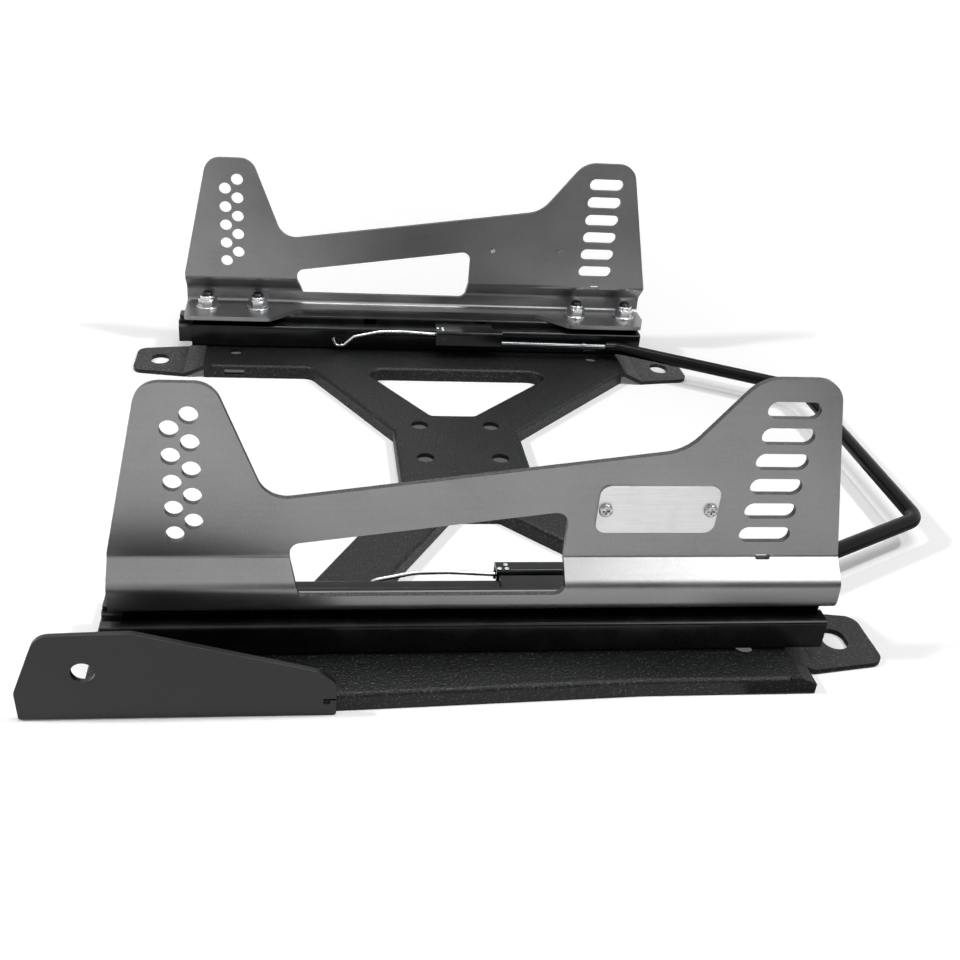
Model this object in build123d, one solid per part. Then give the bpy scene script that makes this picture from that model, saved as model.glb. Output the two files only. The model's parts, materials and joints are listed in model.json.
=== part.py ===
from build123d import *
import math
import os

# Adjustable seat mount: folded base, two slider rails, two side mounts and a release bar.
# Millimetres, +Z up, +X to the release bar, +Y away from the side with the badge.
# The origin is the centre of the four-hole pattern on the base's upper face.

# Base sheet
base_t = 3.0
base_flange = 10.0
base_bend_r = 2.6
waist_half = 44.3
waist_near = -64.5
waist_far = 16.5
strip_near_outer = -255.0
strip_near_inner = -169.0
strip_far_inner = 119.0
strip_far_outer = 205.0
ear_zone_outer = -261.5
ear_zone_x = -86.0
taper_end_x = 64.0
strip_right_x = 148.0
strip_left_far_x = -183.0
strip_left_near_x = -210.0
left_arm_slope = 0.56
right_arm_slope = 0.967
v_half = 15.5
v_far_y = 40.5
v_near_y = -91.4
left_inner_slope = 0.61
corner_r = 10.0
waist_r = 4.0
strip_corner_r = 3.0
strip_step_r = 6.0
pattern_x = 51.0
pattern_y = 47.6
pattern_hole_d = 12.0
strip_hole_d = 11.0
strip_hole_far_y = 147.0
strip_hole_near_y = -227.5
strip_hole_right_x = 125.5
strip_hole_left_x = -160.0
flange_slot_len = 16.0
flange_slot_h = 3.6

# Floor feet
foot_drop = 7.0
foot_run = 15.0
foot_bend_in = 0.8
foot_back = 6.0
foot_taper_x = 8.5
foot_reach = 54.0
near_foot_reach = 56.0
foot_hole_reach = 35.5
foot_root_half = 27.0
foot_end_half = 20.0
foot_corner_r = 8.0
rim_overlap = 0.5
rim_lap = 4.0
edge_room = 0.01
foot_slot_d = 14.0
foot_slot_len = 18.0
foot_far_y = 145.5
foot_near_y = -214.0

# Upright ear on the near strip
ear_t = 3.0
ear_hole_d = 11.0
ear_hole_x = -206.0
ear_hole_z = 18.0
ear_left_x = -238.0
ear_left_lean = 0.6
ear_low_z = -9.4
ear_side_z = 6.5
ear_shoulder = (11.0, 34.5)
ear_top_start = 15.0
ear_top_end_x = -183.0
ear_top_z = 38.6
ear_top_rise = 1.4
ear_slope_end = (8.0, 16.5)
ear_right_x = -90.0
ear_right_z = 9.5
ear_radii = (1.5, 8.0, 7.0, 9.0, 12.0, 10.0, 6.0, 1.5)
ear_notch_in = 6.0
ear_notch = 3.0
ear_slit = 0.8

# Slider rails
mid_y = -18.0
rail_y = 193.0
rail_w = 40.0
rail_t = 2.0
lower_h = 18.0
rail_h = 22.5
lower_x0 = -194.5
rail_len = 361.5
lip_inner = 8.5
lip_drop = 7.0
lip_bend_r = 2.2
lip_edge_r = 1.6
neck_half = 7.5
neck_bend_r = 1.8
wing_half = 15.5
wing_z = 6.0
wing_top = 12.0
roller_gap = 0.03
roller_len = 5.0
roller_y = 14.5
roller_xs = (-98.0, -24.0, 48.0)
neck_slot_x = ((-60.0, -48.6), (31.0, 40.0))
neck_slot_top = 21.3
neck_slot_low = 14.0
neck_slot_lean = 2.0
plug_out = 10.0
plug_tongue = 5.0
plug_gap = 0.4
plug_bridge = 2.3
plug_lean = 1.0
plug_head = 17.0
plug_nub = 1.5
plug_nub_d = 5.0
plug_edge_r = 1.5
plug_tongue_low = 15.0

# Rail fixings in the base
rail_bolt_xs = (-143.0, 112.0)
rail_bolt_d = 6.0
rail_bolt_head_d = 10.0
rail_bolt_head_h = 3.5
rail_bolt_tail = 1.5
rail_nut_af = 10.0
rail_nut_h = 5.0
bolt_clear = 0.2

# Side mounts, in their own frame: the lowest front hole is the zero of X and Z
mount_t = 3.2
mount_face = 199.0
datum_x = -158.0
datum_z = 70.0
fold_z = -20.1
joggle = 11.0
mount_left = -41.8
mount_right = 328.2
mount_right_lean = 0.8
mount_shoulder_z = (-18.0, -20.0)
mount_shoulder_r = 4.0
rear_peak_x = (-22.3, 11.2)
rear_peak_z = 72.6
rear_peak_r = 12.5
valley_x = (34.6, 236.1)
valley_z = (11.4, 40.3)
valley_r = (14.5, 24.0)
front_peak_x = (266.7, 305.8)
front_peak_z = 79.8
front_peak_r = (20.0, 14.0)
mount_tall = 90.0
mount_deep = -60.0
hole_d = 9.0
hole_pitch = 14.15
hole_columns = ((0.0, 0.0), (-9.1, -7.1))
hole_count = 5
slot_x = 285.4
slot_z0 = -7.0
slot_pitch = 14.1
slot_count = 6
slot_len = 27.0
slot_w = 9.0
wide_foot = 23.6
slim_foot = 1.8
foot_step_x = (24.5, 47.7, 240.5, 264.5)
foot_step_r = 9.0
foot_edge_r = 3.0
foot_nose = 4.3
foot_nose_y = 3.6
foot_nose_r = 6.0
fold_r = 2.0
joggle_r = 5.8
flange_r = 3.3
window_r = 5.5
window_left = 45.3
window_right = 182.3
window_top = -12.9
window_rise = 0.1424
window_kink = -21.6
window_toe = 50.0
window_toe_r = 1.0
window_kink_r = 8.0
window_high_r = 6.5
sill_z = -36.0
relief_x = 287.0
relief_low = 0.2
relief_len = 8.0
relief_h = 2.2

# Studs and flange nuts that hold a side mount on its upper rail
stud_xs = (-24.8, 14.5, 273.0, 313.5)
stud_d = 8.0
stud_up = 12.7
stud_head_d = 10.4
stud_head_h = 3.0
stud_chamfer = 0.8
stud_sink = 0.5
nut_af = 13.0
nut_hex_h = 7.4
nut_h = 10.2
nut_collar_d = 11.8
nut_collar_r = 1.0
nut_crown_r = 9.6
nut_crown_low = 6.9
nut_flange_d = 17.8
nut_flange_h = 1.8
nut_flange_r = 0.7
thread_fit = 0.05

# Badge plate with its screws
badge_w = 61.5
badge_h = 27.0
badge_t = 1.2
badge_r = 5.5
badge_x = 226.6
badge_z = 8.2
badge_screw_dx = 26.85
screw_d = 4.0
screw_head_d = 7.0
screw_head_h = 1.8
screw_tail = 1.6
screw_head_r = 0.8
cross_w = 3.6
cross_t = 0.9
cross_deep = 1.0

# Lever, rod and release bar
bracket_t = 1.6
bracket_gap = 0.6
bracket_x = (-84.0, 44.0)
bracket_web_x = -2.0
bracket_low = 6.0
bracket_step = 13.0
bracket_bend_r = 0.6
lip_room = 0.3
lever_x = (-3.0, 50.0)
lever_z = (10.5, 21.5)
lever_t = 1.6
lever_bend_in = 0.5
lever_bend_out = 2.0
lever_gap = 0.3
rivet_d = 1.4
rivet_head_d = 2.6
rivet_head_h = 0.7
rivet_edge = 1.7
rivet_spread = 3.7
rivet_back = 1.6
rivet_pitch = 4.0
rivet_third = 3.8
rivet_head_r = 0.4
rod_d = 6.0
rod_room = 6.6
rod_x0 = 26.0
bar_z = 10.6
bar_tilt = 0.45
bar_d = 9.6
bar_x0 = 136.0
bar_bend_x = 146.0
bar_right_x = 277.0
bar_half = 96.0
bar_bore = 6.0
bar_bend_r = 14.0
collar_x = 118.0
collar_d = 7.4
collar_len = 3.0
pivot_x = 3.5
pivot_z = 15.4
pivot_d = 4.0
pivot_out = 0.2
spring_d = 2.4
anchor_x = -79.0
anchor_z = 9.0
anchor_d = 3.0
spring_gap = 0.4
anchor_out = 4.6
hook_gap = 0.3
hook_back = 2.6
hook_up = 3.0
spring_points = ((11.0, 13.4), (32.0, 18.2), (50.0, 18.7))
spring_end = (2.0, 17.0)
spring_radii = (6.0, 40.0, 60.0)

near_rail_y = mid_y - rail_y
near_face_y = near_rail_y + rail_w / 2
foot_z = rail_h
plate_y = mid_y - mount_face


def far_of(piece):
    return Pos(0, 2 * mid_y, 0) * mirror(piece, about=Plane.XZ)


def save(name, piece):
    export_step(piece, os.path.join("parts", name + ".step"))


def prism_xz(sketch_face, y0, y1):
    # A face drawn in local X and Z, pushed from y0 to y1
    placed = Plane(origin=(0, y0, 0), x_dir=(1, 0, 0), z_dir=(0, -1, 0)) * sketch_face
    return extrude(placed, amount=y1 - y0, dir=(0, 1, 0))


def prism_yz(sketch_face, x0, x1):
    # A face drawn in local Y and Z, pushed from x0 to x1
    placed = Plane(origin=(x0, 0, 0), x_dir=(0, 1, 0), z_dir=(1, 0, 0)) * sketch_face
    return extrude(placed, amount=x1 - x0, dir=(1, 0, 0))


def near_vertex(face, point):
    return min(face.vertices(), key=lambda v: (v.X - point[0]) ** 2 + (v.Y - point[1]) ** 2)


def rounded(points, radii):
    # A polygon whose corners are rounded by the radii given for them
    face = Face(Wire.make_polygon([(p[0], p[1], 0) for p in points], close=True))
    for point, radius in zip(points, radii):
        if radius > 0:
            face = face.fillet_2d(radius, [near_vertex(face, point)])
    return face


def round_bar(diameter, y0, y1, x, z):
    return Pos(x, (y0 + y1) / 2, z) * Rot(90, 0, 0) * Cylinder(diameter / 2, y1 - y0)


def upright(diameter, z0, z1, x, y):
    return Pos(x, y, (z0 + z1) / 2) * Cylinder(diameter / 2, z1 - z0)


def hexagon(af, z0, z1, x, y):
    face = RegularPolygon(af / math.sqrt(3), 6)
    return Pos(x, y, z0) * extrude(face, amount=z1 - z0, dir=(0, 0, 1))


def strip_x(y, edge_x, edge_y, slope):
    return edge_x + slope * abs(y - edge_y)


def base_outline():
    left_far = strip_x(strip_far_inner, -waist_half, waist_far, -left_arm_slope)
    left_near = strip_x(strip_near_inner, -waist_half, waist_near, -left_arm_slope)
    end_far = waist_far + (strip_right_x - waist_half) / right_arm_slope
    end_near = waist_near - (strip_right_x - waist_half) / right_arm_slope
    points = [
        (strip_right_x, strip_near_outer),
        (taper_end_x, strip_near_outer),
        (ear_zone_x, ear_zone_outer),
        (strip_left_near_x, ear_zone_outer),
        (strip_left_near_x, strip_near_inner),
        (left_near, strip_near_inner),
        (-waist_half, waist_near),
        (-waist_half, waist_far),
        (left_far, strip_far_inner),
        (strip_left_far_x, strip_far_inner),
        (strip_left_far_x, strip_far_outer),
        (strip_right_x, strip_far_outer),
        (strip_right_x, end_far),
        (waist_half, waist_far),
        (waist_half, waist_near),
        (strip_right_x, end_near),
    ]
    radii = [0, 0, 0, strip_corner_r, strip_step_r, corner_r, waist_r, waist_r, corner_r, 0, 0, 0, 0,
             waist_r, waist_r, 0]
    return rounded(points, radii)


def base_gap(v_y, strip_y):
    run = abs(strip_y - v_y)
    points = [
        (-v_half, v_y),
        (v_half, v_y),
        (v_half + right_arm_slope * run, strip_y),
        (-v_half - left_inner_slope * run, strip_y),
    ]
    return rounded(points, [waist_r, waist_r, corner_r, corner_r])


def tray(face, inner):
    # A sheet with its rim turned down; inner is the same outline drawn in by the sheet's thickness
    body = Pos(0, 0, -base_flange) * extrude(face, amount=base_flange, dir=(0, 0, 1))
    rim = [e for e in body.edges() if e.bounding_box().min.Z > -0.01]
    body = fillet(rim, base_bend_r)
    return body - Pos(0, 0, -base_flange) * extrude(inner, amount=base_flange - base_t, dir=(0, 0, 1))


def foot(side, centre_y, y_low, y_high, reach):
    # Sheet that slopes down from the strip's end and runs out to a tapered foot; side is +1 or -1
    t = base_t
    shift = t * math.tan(math.atan2(foot_drop, foot_run) / 2)
    points = [(-foot_back, 0), (0, 0), (foot_run, -foot_drop), (reach, -foot_drop), (reach, -foot_drop - t),
              (foot_run - shift, -foot_drop - t), (-shift, -t), (-foot_back, -t)]
    bend_out = foot_bend_in + t
    section = rounded(points, [0, bend_out, foot_bend_in, 0, 0, bend_out, foot_bend_in, 0])
    sheet = prism_xz(section, y_low, y_high)
    plan_points = [
        (-foot_back, y_low - centre_y),
        (foot_taper_x, y_low - centre_y),
        (foot_taper_x, -foot_root_half),
        (reach, -foot_end_half),
        (reach, foot_end_half),
        (foot_taper_x, foot_root_half),
        (foot_taper_x, y_high - centre_y),
        (-foot_back, y_high - centre_y),
    ]
    if abs(y_low - centre_y) - foot_root_half < 0.01:
        plan_points.pop(2)
    if abs(y_high - centre_y) - foot_root_half < 0.01:
        plan_points.pop(-2)
    plan = Face(Wire.make_polygon([(p[0], p[1], 0) for p in plan_points], close=True))
    for corner in ((reach, -foot_end_half), (reach, foot_end_half)):
        plan = plan.fillet_2d(foot_corner_r, [near_vertex(plan, corner)])
    plan = plan - Pos(foot_hole_reach, 0) * Rot(0, 0, 90) * SlotOverall(foot_slot_len, foot_slot_d)
    keep = Pos(0, centre_y, -20) * extrude(plan, amount=40, dir=(0, 0, 1))
    piece = sheet & keep
    if side < 0:
        piece = mirror(piece, about=Plane.YZ)
    return piece


def make_base():
    outline = base_outline()
    gaps = [base_gap(v_far_y, strip_far_inner), base_gap(v_near_y, strip_near_inner)]
    face = outline - gaps[0] - gaps[1]
    inner = offset(outline, -base_t, kind=Kind.INTERSECTION)
    for gap in gaps:
        inner = inner - offset(gap, base_t, kind=Kind.INTERSECTION)
    body = tray(face, inner)
    far_low = foot_far_y - foot_root_half
    near_low = strip_near_outer + edge_room
    feet = [
        (1, strip_right_x, foot_far_y, far_low, foot_reach),
        (1, strip_right_x, foot_near_y, near_low, near_foot_reach),
        (-1, strip_left_far_x, foot_far_y, far_low, foot_reach),
    ]
    for side, x, centre_y, y_low, reach in feet:
        y_high = centre_y + foot_root_half
        keep_low = y_low + base_t
        gap = Pos(x - side * foot_back / 2, (keep_low + y_high) / 2, -base_flange / 2)
        body = body - gap * Box(foot_back + 0.02, y_high - keep_low, base_flange + 2)
        body = body + Pos(x, 0, 0) * foot(side, centre_y, y_low, y_high, reach)
    # The near rim runs on under the slope as far as the foot's shoulder
    under = rim_overlap - base_t
    start_x = strip_right_x - rim_lap
    end_x = strip_right_x + foot_taper_x
    end_z = under - foot_drop * foot_taper_x / foot_run
    rim = [
        (start_x, under),
        (strip_right_x, under),
        (end_x, end_z),
        (end_x, -base_flange),
        (start_x, -base_flange),
    ]
    rim = Face(Wire.make_polygon([(p[0], p[1], 0) for p in rim], close=True))
    body = body + prism_xz(rim, strip_near_outer, strip_near_outer + base_t)
    for sx in (-1, 1):
        for sy in (-1, 1):
            body = body - upright(pattern_hole_d, -base_t - 1, 1, sx * pattern_x / 2, sy * pattern_y / 2)
    body = body - upright(strip_hole_d, -base_t - 1, 1, strip_hole_right_x, strip_hole_far_y)
    body = body - upright(strip_hole_d, -base_t - 1, 1, strip_hole_left_x, strip_hole_far_y)
    body = body - upright(strip_hole_d, -base_t - 1, 1, strip_hole_right_x, strip_hole_near_y)
    slot = prism_xz(Pos(strip_hole_left_x, -base_flange / 2) * SlotOverall(flange_slot_len, flange_slot_h),
                    strip_far_inner - 1, strip_far_inner + base_t + 1)
    body = body - slot
    for x in rail_bolt_xs:
        for y in (near_rail_y, 2 * mid_y - near_rail_y):
            body = body - upright(rail_bolt_d + 2 * bolt_clear, -base_t - 1, 1, x, y)
    return body


def make_ear():
    # Flat plate with a sloping back; a notch and a saw slit clear the strip's rim
    points = [
        (ear_left_x + ear_left_lean, ear_low_z),
        (ear_left_x, ear_side_z),
        (ear_left_x + ear_shoulder[0], ear_shoulder[1]),
        (ear_left_x + ear_top_start, ear_top_z),
        (ear_top_end_x, ear_top_z + ear_top_rise),
        (ear_right_x - ear_slope_end[0], ear_slope_end[1]),
        (ear_right_x, ear_right_z),
        (ear_right_x, -base_flange),
    ]
    face = rounded(points, ear_radii)
    notch_x = ear_right_x - ear_notch_in
    face = face - Pos(notch_x + ear_notch / 2, -ear_notch / 2) * Rectangle(ear_notch, ear_notch)
    slit_len = ear_right_x - notch_x - ear_notch / 2 + 1
    face = face - Pos(notch_x + ear_notch / 2 + slit_len / 2, -ear_slit / 2) * Rectangle(slit_len, ear_slit)
    face = face - Pos(ear_hole_x, ear_hole_z) * Circle(ear_hole_d / 2)
    return prism_xz(face, ear_zone_outer - ear_t, ear_zone_outer)


def make_lower_rail():
    half = rail_w / 2
    t = rail_t
    right = [(0, 0), (half, 0), (half, lower_h), (lip_inner, lower_h), (lip_inner, lower_h - t - lip_drop),
             (lip_inner + t, lower_h - t - lip_drop), (lip_inner + t, lower_h - t), (half - t, lower_h - t),
             (half - t, t), (0, t)]
    left = [(-y, z) for y, z in reversed(right[1:-1])]
    section = Face(Wire.make_polygon([(y, z, 0) for y, z in right + left], close=True))
    for s in (-1, 1):
        section = section.fillet_2d(lip_bend_r, [near_vertex(section, (s * half, lower_h))])
        section = section.fillet_2d(lip_bend_r, [near_vertex(section, (s * half, 0))])
        section = section.fillet_2d(lip_edge_r, [near_vertex(section, (s * lip_inner, lower_h))])
    body = Pos(0, near_rail_y, 0) * prism_yz(section, lower_x0, lower_x0 + rail_len)
    for x in rail_bolt_xs:
        body = body - upright(rail_bolt_d + 2 * bolt_clear, -1, t + 1, x, near_rail_y)
    return body


def make_upper_rail():
    t = rail_t
    right = [(0, rail_h), (neck_half, rail_h), (neck_half, wing_z + t), (wing_half - t, wing_z + t),
             (wing_half - t, wing_top), (wing_half, wing_top), (wing_half, wing_z), (neck_half - t, wing_z),
             (neck_half - t, rail_h - t), (0, rail_h - t)]
    left = [(-y, z) for y, z in reversed(right[1:-1])]
    section = Face(Wire.make_polygon([(y, z, 0) for y, z in right + left], close=True))
    for s in (-1, 1):
        section = section.fillet_2d(neck_bend_r, [near_vertex(section, (s * neck_half, rail_h))])
        section = section.fillet_2d(neck_bend_r, [near_vertex(section, (s * wing_half, wing_z))])
    body = Pos(0, near_rail_y, 0) * prism_yz(section, lower_x0, lower_x0 + rail_len)
    for x0, x1 in neck_slot_x:
        lean = neck_slot_lean
        top, low = neck_slot_top, neck_slot_low
        slot = [(x0, top), (x1, top), (x1 - lean, low), (x0 + lean, low)]
        slot = Face(Wire.make_polygon([(x, z, 0) for x, z in slot], close=True))
        body = body - prism_xz(slot, near_rail_y + neck_half - t - 1, near_rail_y + neck_half + 1)
    for x in stud_xs:
        body = body - upright(stud_d + 2 * thread_fit, rail_h - t - 1, rail_h + 1, x + datum_x, near_rail_y)
    return body


def make_rollers():
    pieces = []
    low_r = (wing_z - rail_t) / 2 - roller_gap
    high_r = (lower_h - rail_t - wing_top) / 2 - roller_gap
    for x in roller_xs:
        for s in (-1, 1):
            y = near_rail_y + s * roller_y
            y0 = y - roller_len / 2
            pieces.append(round_bar(2 * low_r, y0, y0 + roller_len, x, (wing_z + rail_t) / 2))
            pieces.append(round_bar(2 * high_r, y0, y0 + roller_len, x, (wing_top + lower_h - rail_t) / 2))
    return pieces


def block(x0, x1, y0, y1, z0, z1):
    return Pos((x0 + x1) / 2, (y0 + y1) / 2, (z0 + z1) / 2) * Box(x1 - x0, y1 - y0, z1 - z0)


def make_plug():
    # Moulded end piece: a tongue in the upper rail, a bridge under the lips and a tower beside each lip
    x0 = lower_x0 - plug_out
    lip_low = lower_h - rail_t - lip_drop
    bridge_z = lip_low - plug_gap - plug_bridge
    tower_in = lip_inner + rail_t + 2 * plug_gap
    tower_out = rail_w / 2 - rail_t - plug_lean
    tower_top = lower_h - rail_t - plug_gap
    core = neck_half - rail_t - plug_gap
    shelf = lip_low - plug_gap
    floor = rail_t + plug_gap
    right = [
        (0, plug_head),
        (lip_inner - plug_gap, plug_head),
        (lip_inner - plug_gap, shelf),
        (tower_in, shelf),
        (tower_in, tower_top),
        (tower_out, tower_top),
        (tower_out, floor),
        (tower_in, floor),
        (tower_in, bridge_z),
        (0, bridge_z),
    ]
    left = [(-y, z) for y, z in reversed(right[1:-1])]
    section = Face(Wire.make_polygon([(y, z, 0) for y, z in right + left], close=True))
    for s in (-1, 1):
        for z in (tower_top, floor):
            section = section.fillet_2d(plug_edge_r, [near_vertex(section, (s * tower_out, z))])
    body = prism_yz(section, x0, lower_x0)
    tongue = block(x0, lower_x0 + plug_tongue, -core, core, plug_tongue_low, rail_h - rail_t - plug_gap)
    nub = along_x(plug_nub_d, x0 - plug_nub, x0 + 1, 0, plug_head - plug_nub_d)
    return Pos(0, near_rail_y, 0) * (body + tongue + nub)


def mount_section():
    t = mount_t
    slant = t * math.sqrt(2)
    low = fold_z - joggle
    bottom = foot_z - datum_z
    points = [
        (0, mount_tall),
        (0, fold_z),
        (-joggle, low),
        (-joggle, bottom),
        (t + wide_foot, bottom),
        (t + wide_foot, bottom + t),
        (t - joggle, bottom + t),
        (t - joggle, low - slant + t),
        (t, fold_z - slant + t),
        (t, mount_tall),
    ]
    radii = [0, fold_r, joggle_r + t, flange_r + t, 0, 0, flange_r, joggle_r, fold_r + t, 0]
    return rounded(points, radii)


def mount_outline():
    # Side view: the rear peak with the holes, the valley, and the front peak with the slots
    points = [
        (mount_left, mount_deep),
        (mount_left, mount_shoulder_z[0]),
        (rear_peak_x[0], rear_peak_z),
        (rear_peak_x[1], rear_peak_z),
        (valley_x[0], valley_z[0]),
        (valley_x[1], valley_z[1]),
        (front_peak_x[0], front_peak_z),
        (front_peak_x[1], front_peak_z),
        (mount_right, mount_shoulder_z[1]),
        (mount_right + mount_right_lean, mount_deep),
    ]
    radii = [0, mount_shoulder_r, rear_peak_r, rear_peak_r, *valley_r, *front_peak_r, mount_shoulder_r, 0]
    return rounded(points, radii)


def mount_window():
    top_right = window_top + window_rise * (window_right - window_left)
    points = [
        (window_toe, sill_z),
        (window_right, sill_z),
        (window_right, top_right),
        (window_left, window_top),
        (window_left, window_kink),
    ]
    return rounded(points, [window_toe_r, window_r, window_high_r, window_r, window_kink_r])


def foot_plan():
    # Plan view: the foot is wide at its ends, under the nuts, and slim along the window
    wide = mount_t + wide_foot
    slim = mount_t + slim_foot
    outer = -joggle - 1.0
    rear_wide, rear_slim, front_slim, front_wide = foot_step_x
    points = [
        (mount_left, outer),
        (mount_right + 2.0, outer),
        (mount_right + 2.0, mount_t + foot_nose_y),
        (mount_right - foot_nose, wide),
        (front_wide, wide),
        (front_slim, slim),
        (rear_slim, slim),
        (rear_wide, wide),
        (mount_left, wide),
    ]
    step = foot_step_r
    return rounded(points, [0, 0, foot_nose_r, foot_edge_r, step, step, step, step, foot_edge_r])


def make_side_mount():
    t = mount_t
    body = prism_yz(mount_section(), mount_left - 5, mount_right + 6)
    body = body & prism_xz(mount_outline(), -joggle - 2, t + wide_foot + 2)
    plan = Pos(0, 0, mount_deep) * extrude(foot_plan(), amount=mount_tall - mount_deep, dir=(0, 0, 1))
    body = body & plan
    body = body - prism_xz(mount_window(), -joggle - 2, t + 2)
    holes = []
    for x, z0 in hole_columns:
        for i in range(hole_count):
            holes.append(round_bar(hole_d, -2, t + 2, x, z0 + i * hole_pitch))
    for i in range(slot_count):
        slot = Pos(slot_x, slot_z0 + i * slot_pitch) * SlotOverall(slot_len, slot_w)
        holes.append(prism_xz(slot, -2, t + 2))
    for dx in (-badge_screw_dx, badge_screw_dx):
        holes.append(round_bar(screw_d + 2 * thread_fit, -2, t + 2, badge_x + dx, badge_z))
    relief = Pos(relief_x, fold_z - relief_low) * SlotOverall(relief_len, relief_h)
    holes.append(prism_xz(relief, -4, t + 2))
    bottom = foot_z - datum_z
    for x in stud_xs:
        holes.append(upright(stud_d + 2 * bolt_clear, bottom - 1, bottom + t + 1, x, near_rail_y - plate_y))
    for hole in holes:
        body = body - hole
    return Pos(datum_x, plate_y, datum_z) * body


def make_studs():
    pieces = []
    web = rail_h - rail_t
    for x in stud_xs:
        shank = upright(stud_d, web - stud_sink, rail_h + mount_t + stud_up, x + datum_x, near_rail_y)
        shank = chamfer(shank.edges().group_by(Axis.Z)[-1], stud_chamfer)
        pieces.append(shank + upright(stud_head_d, web - stud_head_h, web, x + datum_x, near_rail_y))
    return pieces


def make_nut(x, y, z):
    # Flange nut: hexagon with its corners turned down, a flange below and a round locking collar on top
    crown = Pos(x, y, z + nut_hex_h - nut_crown_low) * Sphere(nut_crown_r)
    body = hexagon(nut_af, z, z + nut_hex_h, x, y) & crown
    flange = upright(nut_flange_d, z, z + nut_flange_h, x, y)
    flange = fillet(flange.edges().group_by(Axis.Z)[-1], nut_flange_r)
    collar = upright(nut_collar_d, z + 1, z + nut_h, x, y)
    collar = fillet(collar.edges().group_by(Axis.Z)[-1], nut_collar_r)
    return body + flange + collar - upright(stud_d + 2 * thread_fit, z - 1, z + nut_h + 1, x, y)


def make_nuts():
    return [make_nut(x + datum_x, near_rail_y, rail_h + mount_t) for x in stud_xs]


def make_badge():
    face = RectangleRounded(badge_w, badge_h, badge_r)
    face = Pos(badge_x + datum_x, badge_z + datum_z) * face
    for dx in (-badge_screw_dx, badge_screw_dx):
        face = face - Pos(badge_x + dx + datum_x, badge_z + datum_z) * Circle(screw_d / 2 + bolt_clear)
    return prism_xz(face, plate_y - badge_t, plate_y)


def make_screw(x, z, seat_y):
    # Pan head with a cross recess; the shank goes along +Y through the side mount
    head = round_bar(screw_head_d, seat_y - screw_head_h, seat_y, x, z)
    front = head.edges().group_by(Axis.Y)[0]
    head = fillet(front, screw_head_r)
    arms = Box(cross_w, 2 * cross_deep, cross_t) + Box(cross_t, 2 * cross_deep, cross_w)
    cross = Pos(x, seat_y - screw_head_h, z) * arms
    shank = round_bar(screw_d, seat_y - 0.2, plate_y + mount_t + screw_tail, x, z)
    return head - cross + shank


def make_bracket():
    # Folded sheet on the upper rail's neck: it crosses the lip and reaches back to the spring
    t = bracket_t
    y0 = near_face_y + bracket_gap
    x0, x1 = bracket_x
    web_y = near_rail_y + neck_half
    web_z = lower_h + lip_room
    points = [
        (web_y, web_z + t),
        (y0 + t, web_z + t),
        (y0 + t, bracket_low),
        (y0, bracket_low),
        (y0, web_z),
        (web_y, web_z),
    ]
    section = rounded(points, [0, bracket_bend_r + t, 0, 0, bracket_bend_r, 0])
    body = prism_yz(section, bracket_web_x, x1)
    body = body + block(x0, bracket_web_x + 1, y0, y0 + t, bracket_low, bracket_step)
    body = body + round_bar(anchor_d, y0 + t - 0.2, y0 + t + anchor_out, anchor_x, anchor_z)
    return body - round_bar(pivot_d + 2 * thread_fit, y0 - 1, y0 + t + 1, pivot_x, pivot_z)


def lever_ys():
    y0 = near_face_y + bracket_gap + bracket_t + lever_gap
    return y0, y0 + lever_t, y0 + lever_t + rod_room, y0 + 2 * lever_t + rod_room


def make_lever():
    y0, y1, y2, y3 = lever_ys()
    z0, z1 = lever_z
    t = lever_t
    points = [(y0, z0), (y0, z1), (y3, z1), (y3, z0), (y2, z0), (y2, z1 - t), (y1, z1 - t), (y1, z0)]
    tight = lever_bend_in
    section = rounded(points, [0, lever_bend_out, lever_bend_out, 0, 0, tight, tight, 0])
    body = prism_yz(section, lever_x[0], lever_x[1])
    body = body - round_bar(pivot_d + 2 * thread_fit, y0 - 1, y3 + 1, pivot_x, pivot_z)
    for x, y in rivet_spots():
        body = body - upright(rivet_d, z1 - t - 1, z1 + 1, x, y)
    return body


def rivet_spots():
    edge = lever_ys()[0] + rivet_edge
    first = lever_x[0] + rivet_back
    return ((first, edge), (first + rivet_pitch, edge), (first + rivet_third, edge + rivet_spread))


def make_lever_rivets():
    pieces = []
    top = lever_z[1]
    for x, y in rivet_spots():
        head = upright(rivet_head_d, top, top + rivet_head_h, x, y)
        head = fillet(head.edges().group_by(Axis.Z)[-1], rivet_head_r)
        pieces.append(head + upright(rivet_d, top - lever_t, top + 0.1, x, y))
    return pieces


def make_pivot():
    return round_bar(pivot_d, near_face_y + bracket_gap, lever_ys()[3] + pivot_out, pivot_x, pivot_z)


def rod_y():
    ys = lever_ys()
    return (ys[1] + ys[2]) / 2


def along_x(diameter, x0, x1, y, z):
    return Pos((x0 + x1) / 2, y, z) * Rot(0, 90, 0) * Cylinder(diameter / 2, x1 - x0)


def tilted(piece):
    # The rod and the bar hang a little lower towards the front
    return Pos(rod_x0, 0, bar_z) * Rot(0, bar_tilt, 0) * Pos(-rod_x0, 0, -bar_z) * piece


def make_rod():
    y = rod_y()
    body = along_x(rod_d, rod_x0, bar_x0 + bar_bore - 0.2, y, bar_z)
    body = body + along_x(collar_d, collar_x - collar_len / 2, collar_x + collar_len / 2, y, bar_z)
    return tilted(body)


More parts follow.
